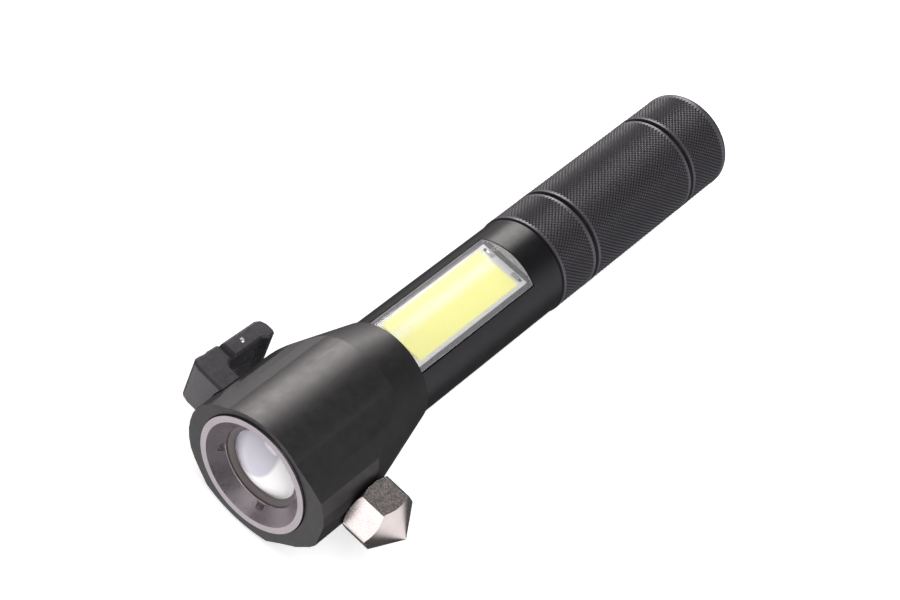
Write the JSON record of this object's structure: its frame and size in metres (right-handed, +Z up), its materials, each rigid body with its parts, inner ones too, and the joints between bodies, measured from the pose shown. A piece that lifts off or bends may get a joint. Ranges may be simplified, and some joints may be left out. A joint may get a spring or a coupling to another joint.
{
  "type": "tactical flashlight",
  "caption": "Emergency flashlight with a sliding zoom head, side light bar, window hammer bit, seat-belt cutter and a screw-on tail cap with a push switch.",
  "frame": {"origin": "under the middle of the object's bounding box, on the surface that the head's sole rests on", "axes": "+X along the beam, +Y towards the hammer bit, +Z up out of the side light"},
  "size_m": [0.1816, 0.0658, 0.0375],
  "materials": {
    "black_satin": "satin black moulding",
    "black_anodised": "satin black anodised",
    "bezel_grey": "bright grey plated",
    "dark_ring": "dark satin",
    "nickel": "nickel plated steel",
    "steel": "plain steel",
    "brass": "bare brass",
    "aluminium": "bare, turned",
    "clear": "clear polished",
    "white": "matte white",
    "phosphor": "pale yellow phosphor",
    "rubber": "matte black",
    "board_green": "green circuit board",
    "wire_red": "red insulation",
    "wire_black": "black insulation",
    "cell_wrap": "blue shrink wrap"
  },
  "bodies": {
    "barrel": {"front_barrel": "black_anodised", "stop_ring": "steel", "focus_oring": "rubber", "led_pill": "aluminium", "led_board": "white", "led_holder": "white", "led_emitter": "phosphor", "led_wire_red": "wire_red", "led_wire_black": "wire_black", "cob_window": "clear", "cob_tray": "white", "cob_board": "white", "cob_phosphor": "phosphor", "cob_wire_red": "wire_red", "cob_wire_black": "wire_black", "driver_board": "board_green", "front_contact": "brass", "battery_tube": "black_anodised", "body_oring": "rubber", "tail_oring": "rubber", "battery_cell": "cell_wrap", "battery_cap": "steel"},
    "head": {"head_shell": "black_satin", "bezel_ring": "bezel_grey", "lens_retainer": "dark_ring", "lens": "clear", "lens_seal": "rubber", "lens_seat": "black_satin", "hammer_bit": "nickel", "cutter_frame": "black_satin", "cutter_blade": "steel", "blade_pin": "steel", "cutter_screw_1": "steel", "cutter_screw_2": "steel"},
    "spring": {"tail_spring": "steel"},
    "tail": {"tail_cap": "black_anodised", "switch_retainer": "brass", "switch_board": "board_green", "switch_body": "black_satin", "switch_spacer": "white", "switch_boot": "rubber"},
    "button": {"switch_plunger": "white"}
  },
  "joints": [
    {"name": "head_slide", "type": "slide", "parent": "barrel", "child": "head", "axis": [1, 0, 0], "range_m": [0, 0.0075]},
    {"name": "tail_travel", "type": "slide", "parent": "barrel", "child": "spring", "axis": [-1, 0, 0], "range_m": [0, 0.00605]},
    {"name": "tail_cap_turn", "type": "hinge", "parent": "spring", "child": "tail", "pos_m": [-0.075, -0.00325, 0.0193], "axis": [-1, 0, 0], "range_deg": [0, 1800]},
    {"name": "switch_press", "type": "slide", "parent": "tail", "child": "button", "axis": [1, 0, 0], "range_m": [0, 0.0015], "stiffness_N_per_m": 1800, "deforming": ["switch_boot"]}
  ],
  "couplings": [
    {"joint": "tail_travel", "follows": "tail_cap_turn", "m_per_rad": 0.00019099}
  ]
}
